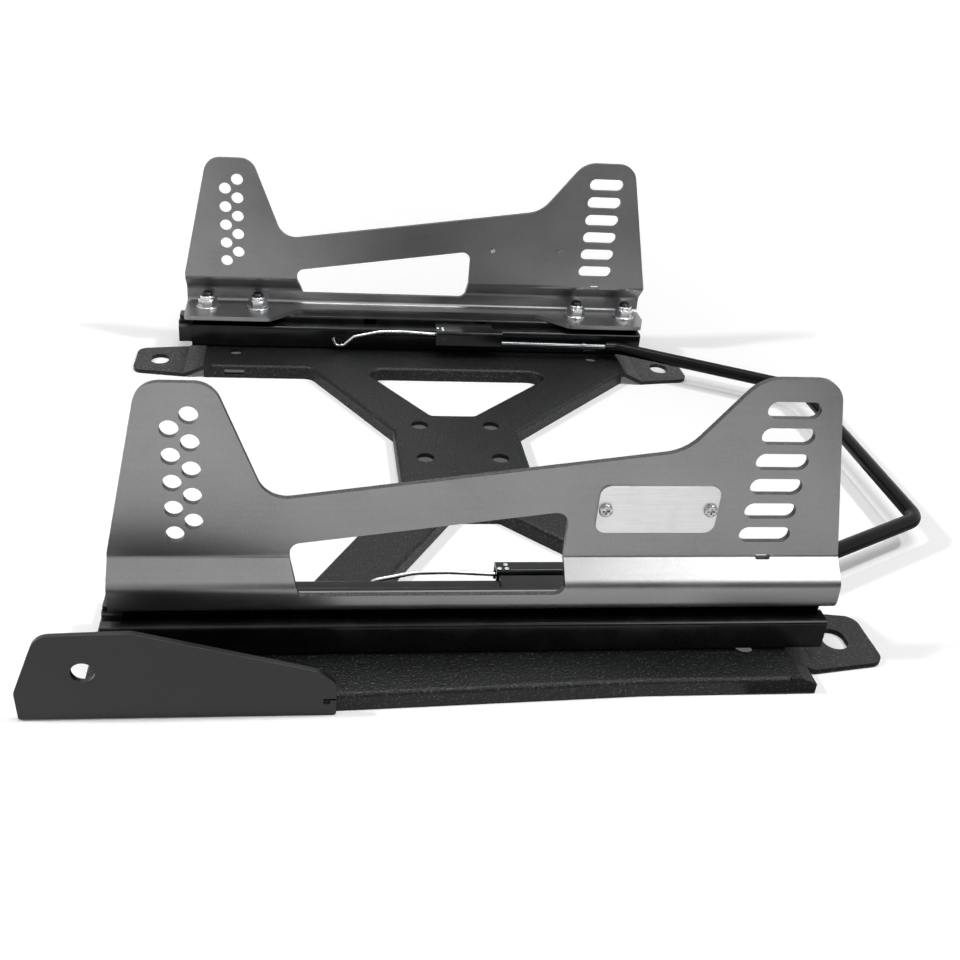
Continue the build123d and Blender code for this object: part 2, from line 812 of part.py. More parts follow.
def make_bar():
    y = rod_y() - mid_y
    half = bar_half
    points = [
        (bar_x0, y),
        (bar_bend_x, y),
        (bar_right_x, -half),
        (bar_right_x, half),
        (bar_bend_x, -y),
        (bar_x0, -y),
    ]
    path = FilletPolyline(*[(p[0], p[1] + mid_y, bar_z) for p in points], radius=bar_bend_r)
    start = Plane(origin=(bar_x0, y + mid_y, bar_z), x_dir=(0, 1, 0), z_dir=(1, 0, 0))
    body = sweep(start * Circle(bar_d / 2), path=path)
    for s in (y, -y):
        body = body - along_x(rod_d + 2 * thread_fit, bar_x0 - 1, bar_x0 + bar_bore, s + mid_y, bar_z)
    return tilted(body)


def make_spring():
    # Wire that hooks under the anchor pin, rises in an arc and ends inside the lever
    y = lever_ys()[1] + spring_d / 2 + spring_gap
    reach = (anchor_d + spring_d) / 2 + hook_gap
    low = anchor_z - reach
    tip_x = anchor_x - reach - hook_back
    hook = [(tip_x, anchor_z + hook_up), (anchor_x - reach, low), (anchor_x + reach, low)]
    arc = [(anchor_x + dx, z) for dx, z in spring_points]
    end = (lever_x[0] + spring_end[0], spring_end[1])
    path = FilletPolyline(*[(x, y, z) for x, z in (*hook, *arc, end)], radius=[reach, reach, *spring_radii])
    start = Plane(origin=path @ 0, z_dir=path % 0)
    return sweep(start * Circle(spring_d / 2), path=path)


def make_rail_bolts():
    pieces = []
    for x in rail_bolt_xs:
        shank = upright(rail_bolt_d, -base_t - rail_nut_h - rail_bolt_tail, rail_t + 0.5, x, near_rail_y)
        pieces.append(shank + upright(rail_bolt_head_d, rail_t, rail_t + rail_bolt_head_h, x, near_rail_y))
    return pieces


def make_rail_nuts():
    pieces = []
    for x in rail_bolt_xs:
        nut = hexagon(rail_nut_af, -base_t - rail_nut_h, -base_t, x, near_rail_y)
        pieces.append(nut - upright(rail_bolt_d + 2 * thread_fit, -20, 0, x, near_rail_y))
    return pieces


def both(pieces):
    return Compound(children=list(pieces) + [far_of(p) for p in pieces])


def main():
    os.makedirs("parts", exist_ok=True)
    save("base_frame", make_base())
    save("mounting_ear", make_ear())
    pairs = {
        "lower_rail": make_lower_rail(),
        "upper_rail": make_upper_rail(),
        "rear_plug": make_plug(),
        "side_mount": make_side_mount(),
        "lever_bracket": make_bracket(),
        "lock_lever": make_lever(),
        "lever_rod": make_rod(),
        "wire_spring": make_spring(),
    }
    for name, piece in pairs.items():
        save(name + "_near", piece)
        save(name + "_far", far_of(piece))
    rollers = make_rollers()
    save("rollers_near", Compound(children=rollers))
    save("rollers_far", Compound(children=[far_of(p) for p in rollers]))
    save("rail_bolts", both(make_rail_bolts()))
    save("rail_nuts", both(make_rail_nuts()))
    save("mount_studs", both(make_studs()))
    save("mount_nuts", both(make_nuts()))
    save("lever_rivets", both(make_lever_rivets()))
    save("pivot_pins", both([make_pivot()]))
    save("release_bar", make_bar())
    save("badge_plate", make_badge())
    xs = [badge_x + s * badge_screw_dx + datum_x for s in (-1, 1)]
    near = [make_screw(x, badge_z + datum_z, plate_y - badge_t) for x in xs]
    save("badge_screws", Compound(children=near))
    far = [far_of(make_screw(x, badge_z + datum_z, plate_y)) for x in xs]
    save("far_screws", Compound(children=far))


main()
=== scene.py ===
"""Finishes, threads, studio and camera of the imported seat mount. One unit is one metre."""

import json
import math

import bmesh
import bpy
import numpy as np
from bpy.props import FloatProperty, FloatVectorProperty, PointerProperty
from mathutils import Matrix, Vector

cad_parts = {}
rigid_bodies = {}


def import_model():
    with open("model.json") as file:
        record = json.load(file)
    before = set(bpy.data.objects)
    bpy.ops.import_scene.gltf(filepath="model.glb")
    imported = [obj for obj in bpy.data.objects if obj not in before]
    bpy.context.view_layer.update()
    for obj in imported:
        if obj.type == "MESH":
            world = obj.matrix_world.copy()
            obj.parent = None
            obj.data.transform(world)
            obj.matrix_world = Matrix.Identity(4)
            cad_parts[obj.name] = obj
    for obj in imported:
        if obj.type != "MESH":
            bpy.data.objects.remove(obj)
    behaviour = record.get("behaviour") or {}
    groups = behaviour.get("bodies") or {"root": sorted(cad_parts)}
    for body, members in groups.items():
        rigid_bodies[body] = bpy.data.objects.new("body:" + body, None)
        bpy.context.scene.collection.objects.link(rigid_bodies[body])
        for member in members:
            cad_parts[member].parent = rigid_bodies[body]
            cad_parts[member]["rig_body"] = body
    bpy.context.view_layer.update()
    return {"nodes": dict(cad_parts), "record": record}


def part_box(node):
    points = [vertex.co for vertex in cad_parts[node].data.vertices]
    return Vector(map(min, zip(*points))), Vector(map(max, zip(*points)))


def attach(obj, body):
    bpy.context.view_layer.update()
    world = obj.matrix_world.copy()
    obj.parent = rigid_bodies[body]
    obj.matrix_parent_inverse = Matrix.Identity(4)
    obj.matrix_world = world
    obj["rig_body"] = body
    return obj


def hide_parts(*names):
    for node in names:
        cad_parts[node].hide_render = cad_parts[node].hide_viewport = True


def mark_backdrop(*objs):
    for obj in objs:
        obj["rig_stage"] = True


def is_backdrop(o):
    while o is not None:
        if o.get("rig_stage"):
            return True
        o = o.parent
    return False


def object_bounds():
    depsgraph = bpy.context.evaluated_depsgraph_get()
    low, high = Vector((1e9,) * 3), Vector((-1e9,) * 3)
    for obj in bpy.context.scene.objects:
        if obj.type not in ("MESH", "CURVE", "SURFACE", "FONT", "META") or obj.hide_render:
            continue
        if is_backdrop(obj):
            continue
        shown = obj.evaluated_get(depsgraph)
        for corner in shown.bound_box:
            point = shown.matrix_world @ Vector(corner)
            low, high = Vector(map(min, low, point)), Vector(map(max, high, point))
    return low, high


bl_info = {
    "name": "Seat mount looks",
    "version": (1, 0, 0),
    "blender": (4, 5, 0),
    "location": "3D View > Sidebar > Seat mount",
    "description": "Finishes, threads and studio for the packed adjustable seat mount",
    "category": "Object",
}

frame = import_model()

MM = 0.001

# Facets of the CAD meshes: points closer together than this are made one, faces that bend less than
# this are joined, and the shading breaks from this bend on
WELD = 0.002 * MM
FLAT = math.radians(0.4)
SHADING_BREAK = math.radians(32)

# An edge that bends more than this gets a small round of this many steps
ROUND_FROM = math.radians(40)
ROUND_STEPS = 2

# The camera that the two like side mounts fit in the photograph
IMAGE_PX = 960.0
SENSOR_MM = 36.0
CAMERA_AT = (-105.55 * MM, -677.58 * MM, 358.91 * MM)
CAMERA_YAW = math.radians(8.19)
CAMERA_PITCH = math.radians(29.74)
CAMERA_ROLL = math.radians(4.46)
CAMERA_FOCAL_PX = 1119.5
CAMERA_CENTRE_PX = (444.5, 481.5)
CAMERA_CLIP = 10 * MM

# The studs' M8 coarse thread. The chamfer takes this share off the radius at the top. Each stud has
# so many points round and rings up
STUD_COUNT = 8
THREAD_PITCH = 1.25 * MM
THREAD_DEPTH = 0.45 * MM
STUD_RADIUS = 4.0 * MM
STUD_CHAMFER = 0.9 * MM
CHAMFER_SHARE = 0.22
POINTS_ROUND = 40
RINGS_UP = 90
THREAD_SHADING_BREAK = math.radians(50)

# A side mount's cut edges: all bends of its flange lie under this height, and a face counts as
# facing along an axis, or square to it, by these parts of its normal
FLANGE_CLEAR = 32 * MM
ALONG_AXIS = 0.98
SQUARE_TO_AXIS = 0.05

# Patterns drawn out along X: 50 times on rod, plate and rail, 25 times on sheet, 20 times on wire
DRAWN = (0.02, 1, 1)
ROLLED = (0.04, 1, 1)
WIRE_DRAWN = (0.05, 1, 1)

# Depth of the grain of bare and plated metal, and what its stains add to the roughness
GRAIN_DEPTH = 0.02 * MM
STAIN_DULLS = 0.1

# The studio floor in metres: half its side, its gap under the base, and the distances from the
# object between which its glow grows
FLOOR_HALF = 4.0
FLOOR_GAP = 0.1 * MM
GLOW_FROM = 0.25
GLOW_TO = 1.6

# Lamps in metres: name, place, aim, side, the setting that gives the power, and the share of it
LAMPS_FOR_REFLECTIONS = (
    ("lamp_overhead", (-0.25, 0.35, 1.6), (0.0, 0.0, 0.0), 0.5, "key_power", 1.0),
    ("lamp_second", (0.5, 0.1, 1.6), (0.0, 0.0, 0.0), 0.4, "second_power", 1.0),
    ("lamp_front_right", (0.85, -1.0, 1.2), (0.1, -0.2, 0.0), 0.8, "side_power", 1.0),
)
LAMPS_FOR_MATT = (
    ("lamp_top", (0.0, -0.45, 1.6), (0.0, -0.1, 0.0), 0.7, "key_power", 1.0),
    ("lamp_left", (-1.3, -0.2, 1.2), (0.0, 0.0, 0.0), 0.12, "shadow_power", 1.0),
    ("lamp_right", (0.9, -0.2, 1.5), (0.0, 0.0, 0.0), 0.12, "shadow_power", 0.7),
)

# Cards in metres: name, the ends of its x and of its y, and its colour. The flag stands in front of
# the object between two heights; the others lie this far above the base's lowest point
FLAG_CARD = ("studio_flag", (-0.3, 1.6), (-1.3, -1.3), "#101010")
FLAG_HEIGHTS = (-0.01, 0.8)
FLOOR_CARDS = (
    ("studio_card_middle", (0.12, 0.8), (-0.28, -0.02), "#9a9a9a"),
    ("studio_card_right", (0.3, 1.4), (-1.2, -0.45), "#a8a8a8"),
)
FLOOR_CARD_LIFT = 1.0 * MM


def linear(code):
    """The linear RGBA colour of an sRGB hex code, by the sRGB curve."""
    parts = [int(code[i:i + 2], 16) / 255 for i in (1, 3, 5)]
    lin = [c / 12.92 if c <= 0.04045 else ((c + 0.055) / 1.055) ** 2.4 for c in parts]
    return (*lin, 1.0)


WHITE = linear("#ffffff")


def per_metre(size_mm):
    """The texture scale whose features have this size."""
    return 1000.0 / size_mm


def add(tree, kind, given=None):
    """Adds a shader node. Each given value goes to the input or setting of its name or number, and
    a given node or output is joined to that input. In a colour mix, 0 is the share of the second
    colour, 6 the first colour and 7 the second."""
    made = tree.nodes.new("ShaderNode" + kind)
    for key, value in (given or {}).items():
        if isinstance(value, bpy.types.Node):
            value = next(out for out in value.outputs if out.enabled)
        if isinstance(value, bpy.types.NodeSocket):
            tree.links.new(value, made.inputs[key])
        elif isinstance(key, int) or key in made.inputs:
            made.inputs[key].default_value = value
        else:
            setattr(made, key, value)
    return made


def emptied(block):
    """The node tree of a material or world, with nothing in it."""
    block.use_nodes = True
    block.node_tree.nodes.clear()
    return block.node_tree


def new_finish(name, code):
    """An empty material, its node tree, and the Object coordinates that its patterns read."""
    material = bpy.data.materials.new(name)
    material.diffuse_color = linear(code)
    tree = emptied(material)
    return material, tree, add(tree, "TexCoord").outputs["Object"]


def white_to_eye(tree):
    """One for rays from the camera, a reflection or a clear body, and zero for all others."""
    path = add(tree, "LightPath")
    seen = add(tree, "Math", {"operation": "MAXIMUM", 0: path.outputs["Is Camera Ray"],
                              1: path.outputs["Is Glossy Ray"]})
    return add(tree, "Math", {"operation": "MAXIMUM", 0: seen,
                              1: path.outputs["Is Transmission Ray"]})


def placed(name, data):
    """A new object with this data, in the scene."""
    piece = bpy.data.objects.new(name, data)
    bpy.context.scene.collection.objects.link(piece)
    return piece


def flat_sheet(name, corners, material):
    """An object of one four-cornered face in one material."""
    mesh = bpy.data.meshes.new(name)
    mesh.from_pydata(corners, [], [[0, 1, 2, 3]])
    mesh.materials.append(material)
    return placed(name, mesh)


# Noise lies mostly between 0.3 and 0.7, so each range below spreads a part of that


def textured_powder_coat():
    """Polyester powder coat, sprayed and baked with a fine texture: black and satin, with pips that
    catch the light by their bumps and glossier tops, and whose tips are painted a lighter grey as a
    painted glint."""
    material, tree, place = new_finish("Textured_black_powder_coat", "#151617")
    # real pips are about 0.4 mm wide; drawn 1.3 mm wide, so that they show
    pips = add(tree, "TexNoise", {"Vector": place, "Scale": per_metre(1.3), "Detail": 3.0})
    # clouds of a thicker coat, 70 mm wide
    cloud = add(tree, "TexNoise", {"Vector": place, "Scale": per_metre(70.0), "Detail": 2.0})
    shade = add(tree, "MapRange", {"Value": cloud, "From Min": 0.35, "From Max": 0.65})
    skin = add(tree, "Mix", {"data_type": "RGBA", 0: shade,
                             6: linear("#040505"), 7: linear("#08090a")})
    # painted glint: the pips' tips are mixed towards a lighter grey; their bumps and glossier tops
    # are real
    tip = add(tree, "MapRange", {"Value": pips, "From Min": 0.58, "From Max": 0.74})
    colour = add(tree, "Mix", {"data_type": "RGBA", 0: tip, 6: skin, 7: linear("#4c4e4e")})
    rough = add(tree, "MapRange", {"Value": pips, "From Min": 0.3, "From Max": 0.7,
                                   "To Min": 0.54, "To Max": 0.30})
    bump = add(tree, "Bump", {"Height": pips, "Strength": 1.0, "Distance": 0.6 * MM})
    surface = add(tree, "BsdfPrincipled", {"Base Color": colour, "Roughness": rough, "Normal": bump,
                                           "Specular IOR Level": 0.27})
    add(tree, "OutputMaterial", {"Surface": surface})
    return material


def smooth_powder_coat():
    """Polyester powder coat, smooth and satin: near black with a slight orange peel and a little
    dust."""
    material, tree, place = new_finish("Satin_black_powder_coat", "#161718")
    # orange peel 2.2 mm wide, and dust in patches of 25 mm
    peel = add(tree, "TexNoise", {"Vector": place, "Scale": per_metre(2.2), "Detail": 2.0})
    dust = add(tree, "TexNoise", {"Vector": place, "Scale": per_metre(25.0), "Detail": 4.0})
    shade = add(tree, "MapRange", {"Value": dust, "From Min": 0.4, "From Max": 0.7})
    colour = add(tree, "Mix", {"data_type": "RGBA", 0: shade,
                               6: linear("#0c0d0e"), 7: linear("#151616")})
    rough = add(tree, "MapRange", {"Value": dust, "From Min": 0.3, "From Max": 0.7,
                                   "To Min": 0.32, "To Max": 0.42})
    bump = add(tree, "Bump", {"Height": peel, "Strength": 0.35, "Distance": 0.05 * MM})
    surface = add(tree, "BsdfPrincipled", {"Base Color": colour, "Roughness": rough, "Normal": bump,
                                           "Specular IOR Level": 0.4})
    add(tree, "OutputMaterial", {"Surface": surface})
    return material


def gloss_powder_coat():
    """Polyester powder coat over tube, gloss: black with narrow lights and a faint orange peel."""
    material, tree, place = new_finish("Gloss_black_powder_coat", "#0b0b0c")
    # orange peel 3 mm wide, and dust in patches of 14 mm
    peel = add(tree, "TexNoise", {"Vector": place, "Scale": per_metre(3.0), "Detail": 2.0})
    dust = add(tree, "TexNoise", {"Vector": place, "Scale": per_metre(14.0), "Detail": 4.0})
    colour = add(tree, "Mix", {"data_type": "RGBA", 0: dust,
                               6: linear("#050506"), 7: linear("#0b0b0c")})
    rough = add(tree, "MapRange", {"Value": dust, "From Min": 0.3, "From Max": 0.7,
                                   "To Min": 0.20, "To Max": 0.28})
    bump = add(tree, "Bump", {"Height": peel, "Strength": 0.3, "Distance": 0.05 * MM})
    surface = add(tree, "BsdfPrincipled", {"Base Color": colour, "Roughness": rough, "Normal": bump,
                                           "Specular IOR Level": 0.12})
    add(tree, "OutputMaterial", {"Surface": surface})
    return material


def gloss_rail_paint():
    """Electrophoretic paint, dipped and baked on roll-formed steel: deep black and glossy, with
    faint rolling lines along X."""
    material, tree, place = new_finish("Gloss_black_electrophoretic_paint", "#0a0b0b")
    along = add(tree, "Mapping", {"Vector": place, "Scale": DRAWN})
    # real rolling lines are about 0.1 mm apart; drawn 1.6 mm apart, so that they show
    lines = add(tree, "TexNoise", {"Vector": along, "Scale": per_metre(1.6), "Detail": 2.0})
    # the film's thickness varies over 18 mm
    film = add(tree, "TexNoise", {"Vector": place, "Scale": per_metre(18.0), "Detail": 3.0})
    shade = add(tree, "MapRange", {"Value": film, "From Min": 0.45, "From Max": 0.75})
    colour = add(tree, "Mix", {"data_type": "RGBA", 0: shade,
                               6: linear("#131414"), 7: linear("#1d1e1e")})
    rough = add(tree, "MapRange", {"Value": film, "From Min": 0.3, "From Max": 0.7,
                                   "To Min": 0.13, "To Max": 0.24})
    bump = add(tree, "Bump", {"Height": lines, "Strength": 0.3, "Distance": 0.04 * MM})
    surface = add(tree, "BsdfPrincipled", {"Base Color": colour, "Roughness": rough, "Normal": bump,
                                           "Specular IOR Level": 0.22})
    add(tree, "OutputMaterial", {"Surface": surface})
    return material


def clear_coated_steel():
    """Cold-rolled steel sheet under a tinted clear coat: satin grey metal with clouds, fine mottle
    and faint streaks along X."""
    material, tree, place = new_finish("Tinted_clear_coated_steel", "#858585")
    along = add(tree, "Mapping", {"Vector": place, "Scale": ROLLED})
    # real rolling streaks are about 0.2 mm apart; drawn 1.8 mm apart, so that they show
    streaks = add(tree, "TexNoise", {"Vector": along, "Scale": per_metre(1.8), "Detail": 3.0})
    # clouds of the clear coat, 45 mm wide
    cloud = add(tree, "TexNoise", {"Vector": place, "Scale": per_metre(45.0), "Detail": 3.0})
    # the sheet's matt rolling grain is about 0.05 mm; drawn 1.2 mm wide, so that it shows
    mottle = add(tree, "TexNoise", {"Vector": place, "Scale": per_metre(1.2), "Detail": 3.0})
    shade = add(tree, "MapRange", {"Value": cloud, "From Min": 0.35, "From Max": 0.7})
    sheet = add(tree, "Mix", {"data_type": "RGBA", 0: shade,
                              6: linear("#7e7d7d"), 7: linear("#8a8989")})
    drawn = add(tree, "MapRange", {"Value": streaks, "From Min": 0.3, "From Max": 0.75,
                                   "To Max": 0.16})
    rolled = add(tree, "Mix", {"data_type": "RGBA", 0: drawn, 6: sheet, 7: linear("#989898")})
    dots = add(tree, "MapRange", {"Value": mottle, "From Min": 0.35, "From Max": 0.7,
                                  "To Max": 0.3})
    colour = add(tree, "Mix", {"data_type": "RGBA", 0: dots, 6: rolled, 7: linear("#949494")})
    rough = add(tree, "MapRange", {"Value": cloud, "From Min": 0.3, "From Max": 0.7,
                                   "To Min": 0.33, "To Max": 0.39})
    bump = add(tree, "Bump", {"Height": mottle, "Strength": 0.3, "Distance": 0.03 * MM})
    surface = add(tree, "BsdfPrincipled", {"Base Color": colour, "Metallic": 0.95,
                                           "Roughness": rough, "Normal": bump, "Coat Weight": 0.2,
                                           "Coat Roughness": 0.2})
    add(tree, "OutputMaterial", {"Surface": surface})
    return material


def metal(name, light, dark, rough, size_mm, stretch=(1, 1, 1)):
    """Bare or plated metal: two greys in a fine grain, which may be drawn out, with faint stains
    that dull it a little. What each one gives the eye stands at its row of FINISHES."""
    material, tree, place = new_finish(name, light)
    along = add(tree, "Mapping", {"Vector": place, "Scale": stretch})
    # a real grain is under 0.1 mm; drawn as wide as the given size, so that it shows
    lines = add(tree, "TexNoise", {"Vector": along, "Scale": per_metre(size_mm), "Detail": 3.0})
    # stains 6 mm wide
    stain = add(tree, "TexNoise", {"Vector": place, "Scale": per_metre(6.0), "Detail": 3.0})
    shade = add(tree, "MapRange", {"Value": lines, "From Min": 0.3, "From Max": 0.7})
    grain = add(tree, "Mix", {"data_type": "RGBA", 0: shade, 6: linear(dark), 7: linear(light)})
    spot = add(tree, "MapRange", {"Value": stain, "From Min": 0.55, "From Max": 0.8,
                                  "To Max": 0.5})
    colour = add(tree, "Mix", {"data_type": "RGBA", 0: spot, 6: grain, 7: linear(dark)})
    dull = add(tree, "MapRange", {"Value": stain, "From Min": 0.3, "From Max": 0.7,
                                  "To Min": rough, "To Max": rough + STAIN_DULLS})
    bump = add(tree, "Bump", {"Height": lines, "Strength": 0.3, "Distance": GRAIN_DEPTH})
    surface = add(tree, "BsdfPrincipled", {"Base Color": colour, "Metallic": 1.0, "Roughness": dull,
                                           "Normal": bump})
    add(tree, "OutputMaterial", {"Surface": surface})
    return material


def moulded_plastic():
    """Acetal, injection moulded: black with a fine spark-eroded grain."""
    material, tree, place = new_finish("Moulded_black_acetal", "#161617")
    # the mould's grain is about 0.1 mm; drawn 0.7 mm wide, so that it shows
    skin = add(tree, "TexNoise", {"Vector": place, "Scale": per_metre(0.7), "Detail": 2.0})
    colour = add(tree, "Mix", {"data_type": "RGBA", 0: skin,
                               6: linear("#0e0e0f"), 7: linear("#18181a")})
    bump = add(tree, "Bump", {"Height": skin, "Strength": 0.3, "Distance": 0.04 * MM})
    surface = add(tree, "BsdfPrincipled", {"Base Color": colour, "Roughness": 0.45, "Normal": bump})
    add(tree, "OutputMaterial", {"Surface": surface})
    return material


FINISHES = {
    "base_black": textured_powder_coat,
    "ear_black": smooth_powder_coat,
    "rail_black": gloss_rail_paint,
    "mount_grey": clear_coated_steel,
    "bar_black": gloss_powder_coat,
    "plug_black": moulded_plastic,
    # zinc, electroplated bright: almost white, with small sharp lights
    "zinc": lambda: metal("Bright_zinc_plated_steel", "#e2e4e6", "#babdc0", 0.16, 0.9),
    # steel, blacked in a hot salt bath and oiled: dark grey with a dull sheen
    "stud_steel": lambda: metal("Oiled_black_oxide_steel", "#4a4a4c", "#232325", 0.3, 0.8),
    # steel, drawn cold through a die: mid grey with a long sharp light
    "rod_steel": lambda: metal("Bright_drawn_steel", "#5c5e60", "#3a3c3e", 0.10, 0.5, DRAWN),
    # aluminium, brushed lengthwise and anodised: pale and even, with hair lines and a soft light
    "badge_alu": lambda: metal("Brushed_anodised_aluminium", "#dedede", "#d2d2d2", 0.36, 0.35,
                               DRAWN),
    # stainless steel, polished: mirror lights beside dark ones
    "screw_steel": lambda: metal("Polished_stainless_steel", "#cfd0d1", "#6a6c6e", 0.08, 1.4),
    # steel sheet's edge, cut by laser: darker than the sheet, so that it draws a thin outline
    "cut_edge": lambda: metal("Laser_cut_steel_edge", "#646566", "#333435", 0.3, 0.8),
    # spring wire, drawn and polished: almost white
    "spring_wire": lambda: metal("Bright_spring_wire", "#eeeeee", "#c9cacb", 0.2, 0.5, WIRE_DRAWN),
}
# The finishes made so far
MADE = {}


def finish_for(name):
    """The finish's material, made once."""
    if name not in MADE:
        MADE[name] = FINISHES[name]()
    return MADE[name]


def record_slot(node):
    """The material slot that the record gives a node."""
    return {row["node"]: row["material_slot"] for row in frame["record"]["subparts"]}[node]


def soften_edges(piece, width_mm):
    """Breaks the sharp edges by a small round, as tumbling or paint does."""
    bevel = piece.modifiers.new("Broken_edges", "BEVEL")
    bevel.width = width_mm * MM
    bevel.segments = ROUND_STEPS
    bevel.limit_method = "ANGLE"
    bevel.angle_limit = ROUND_FROM
    bevel.harden_normals = True


def cut_faces(mesh):
    """Which faces are a side mount's cut edges: those that face along X, and those above the flange
    whose normal is square to Y."""
    normal = np.empty(len(mesh.polygons) * 3, np.float32)
    centre = np.empty(len(mesh.polygons) * 3, np.float32)
    mesh.polygons.foreach_get("normal", normal)
    mesh.polygons.foreach_get("center", centre)
    normal, centre = np.abs(normal.reshape(-1, 3)), centre.reshape(-1, 3)
    upright = (normal[:, 1] < SQUARE_TO_AXIS) & (centre[:, 2] > FLANGE_CLEAR)
    return (normal[:, 0] > ALONG_AXIS) | upright


def dressed(node, edge_mm, finish=None, cut=False):
    """A copy of a CAD node with its points merged and its flat regions joined, smooth over its
    bends. It stands for the node and rides on the same body, in the slot's finish unless another is
    given. A side mount's cut edges get a finish of their own if asked."""
    slot = record_slot(node)
    source = frame["nodes"][node]
    mesh = bpy.data.meshes.new(node + "_finish")
    work = bmesh.new()
    work.from_mesh(source.data)
    bmesh.ops.remove_doubles(work, verts=work.verts, dist=WELD)
    bmesh.ops.dissolve_limit(work, angle_limit=FLAT, verts=work.verts, edges=work.edges)
    work.to_mesh(mesh)
    work.free()
    stored = mesh.attributes.get("custom_normal")
    if stored:
        mesh.attributes.remove(stored)
    mesh.polygons.foreach_set("use_smooth", np.ones(len(mesh.polygons), bool))
    mesh.set_sharp_from_angle(angle=SHADING_BREAK)
    mesh.materials.clear()
    mesh.materials.append(finish_for(finish or slot))
    if cut:
        mesh.materials.append(finish_for("cut_edge"))
        mesh.polygons.foreach_set("material_index", cut_faces(mesh).astype(np.int32))
    piece = placed(node + "_finish", mesh)
    if edge_mm > 0:
        soften_edges(piece, edge_mm)
    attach(piece, source["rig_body"])
    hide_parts(node)


def closed_tube(rows):
    """Points and faces of a tube of quads from an array of rings, rings by points by 3; each ring
    closes on itself, and one face closes each end."""
    rings, count = rows.shape[:2]
    low = np.arange(rings - 1)[:, None] * count
    high = low + count
    j = np.arange(count)[None, :]
    k = (j + 1) % count
    quads = np.stack([low + j, low + k, high + k, high + j], -1).reshape(-1, 4)
    first = list(range(count))[::-1]
    last = list(range((rings - 1) * count, rings * count))
    return rows.reshape(-1, 3), [*quads.tolist(), first, last]


def threaded_stud(x, y, z_low, z_top):
    """A stud's tip as a surface of turn u and height v. Its radius is the stud's, less the thread's
    depth by a triangle wave of v over the pitch minus u, all of it shrunk towards the chamfer at
    the top."""
    turn = np.linspace(0, 1, POINTS_ROUND, endpoint=False)
    height = np.linspace(z_low, z_top, RINGS_UP)
    u, v = np.meshgrid(turn, height)
    wave = np.abs(((v / THREAD_PITCH - u) % 1.0) * 2 - 1)
    fade = np.clip((z_top - v) / STUD_CHAMFER, 0, 1)
    radius = (STUD_RADIUS - THREAD_DEPTH * (1 - wave)) * (1 - CHAMFER_SHARE + CHAMFER_SHARE * fade)
    rows = np.stack([x + radius * np.cos(2 * np.pi * u), y + radius * np.sin(2 * np.pi * u), v], -1)
    return closed_tube(rows)


def joined(name, parts):
    """One mesh object from several lists of points and faces."""
    points, faces, start = [], [], 0
    for part_points, part_faces in parts:
        points.append(part_points)
        faces += [[start + i for i in face] for face in part_faces]
        start += len(part_points)
    mesh = bpy.data.meshes.new(name)
    mesh.from_pydata(np.concatenate(points).tolist(), [], faces)
    mesh.polygons.foreach_set("use_smooth", np.ones(len(mesh.polygons), bool))
    mesh.set_sharp_from_angle(angle=THREAD_SHADING_BREAK)
    return placed(name, mesh)


def islands(node):
    """Each separate solid of a CAD node as the x and y of its middle, its lowest and its highest
    z."""
    work = bmesh.new()
    work.from_mesh(frame["nodes"][node].data)
    bmesh.ops.remove_doubles(work, verts=work.verts, dist=WELD)
    left = set(work.verts)
    found = []
    while left:
        group, waiting = [], [left.pop()]
        while waiting:
            point = waiting.pop()
            group.append(point.co[:])
            for edge in point.link_edges:
                other = edge.other_vert(point)
                if other in left:
                    left.discard(other)
                    waiting.append(other)
        low, high = np.min(group, 0), np.max(group, 0)
        x, y, _ = (low + high) / 2
        found.append((x, y, low[2], high[2]))
    work.free()
    return sorted(found)


class SeatMountLooks(bpy.types.PropertyGroup):
    """Sizes, colours and powers that a user may change."""

    folded_edge: FloatProperty(
        name="Folded sheet edge",
        description="Round on the edges of the sheet pieces, in millimetres",
        default=0.35, min=0.0, max=1.0, unit="NONE")
    small_edge: FloatProperty(
        name="Small piece edge",
        description="Round on the edges of the small pieces, in millimetres",
        default=0.15, min=0.0, max=0.5, unit="NONE")
    floor_colour: FloatVectorProperty(
        name="Floor colour",
        description="Colour of the studio floor",
        default=linear("#f4f4f4"), min=0.0, max=1.0, size=4, subtype="COLOR")
    key_power: FloatProperty(
        name="Key lamps",
        description="Power of the overhead lamp and of the top lamp",
        default=12.0, unit="POWER")
    second_power: FloatProperty(
        name="Second lamp",
        description="Power of the second overhead lamp",
        default=12.0, unit="POWER")
    side_power: FloatProperty(
        name="Front lamp",
        description="Power of the lamp at the front right",
        default=14.0, unit="POWER")
    shadow_power: FloatProperty(
        name="Shadow lamps",
        description="Power of the two small lamps that draw the shadows",
        default=13.0, unit="POWER")
    world_level: FloatProperty(
        name="Room light",
        description="Level of the even light around",
        default=0.08, unit="NONE")
    floor_glow: FloatProperty(
        name="Floor white",
        description="White that the eye sees on the floor near the object",
        default=0.12, unit="NONE")


class SEATMOUNT_OT_base(bpy.types.Operator):
    """Finishes the folded base and its upright ear."""

    bl_idname = "seatmount.base"
    bl_label = "Base"

    def execute(self, context):
        edge = context.scene.seat_mount.folded_edge
        dressed("base_frame", edge)
        dressed("mounting_ear", edge, "ear_black")
        return {"FINISHED"}


class SEATMOUNT_OT_rails(bpy.types.Operator):
    """Finishes the slider rails with their rollers, plugs and bolts."""

    bl_idname = "seatmount.rails"
    bl_label = "Rails"

    def execute(self, context):
        edge = context.scene.seat_mount.small_edge
        # a rolled rail's edges are twice as round
        for side in ("near", "far"):
            dressed("lower_rail_" + side, 2 * edge)
            dressed("upper_rail_" + side, 2 * edge)
            dressed("rear_plug_" + side, edge)
            dressed("rollers_" + side, edge)
        dressed("rail_bolts", edge)
        dressed("rail_nuts", edge)
        return {"FINISHED"}


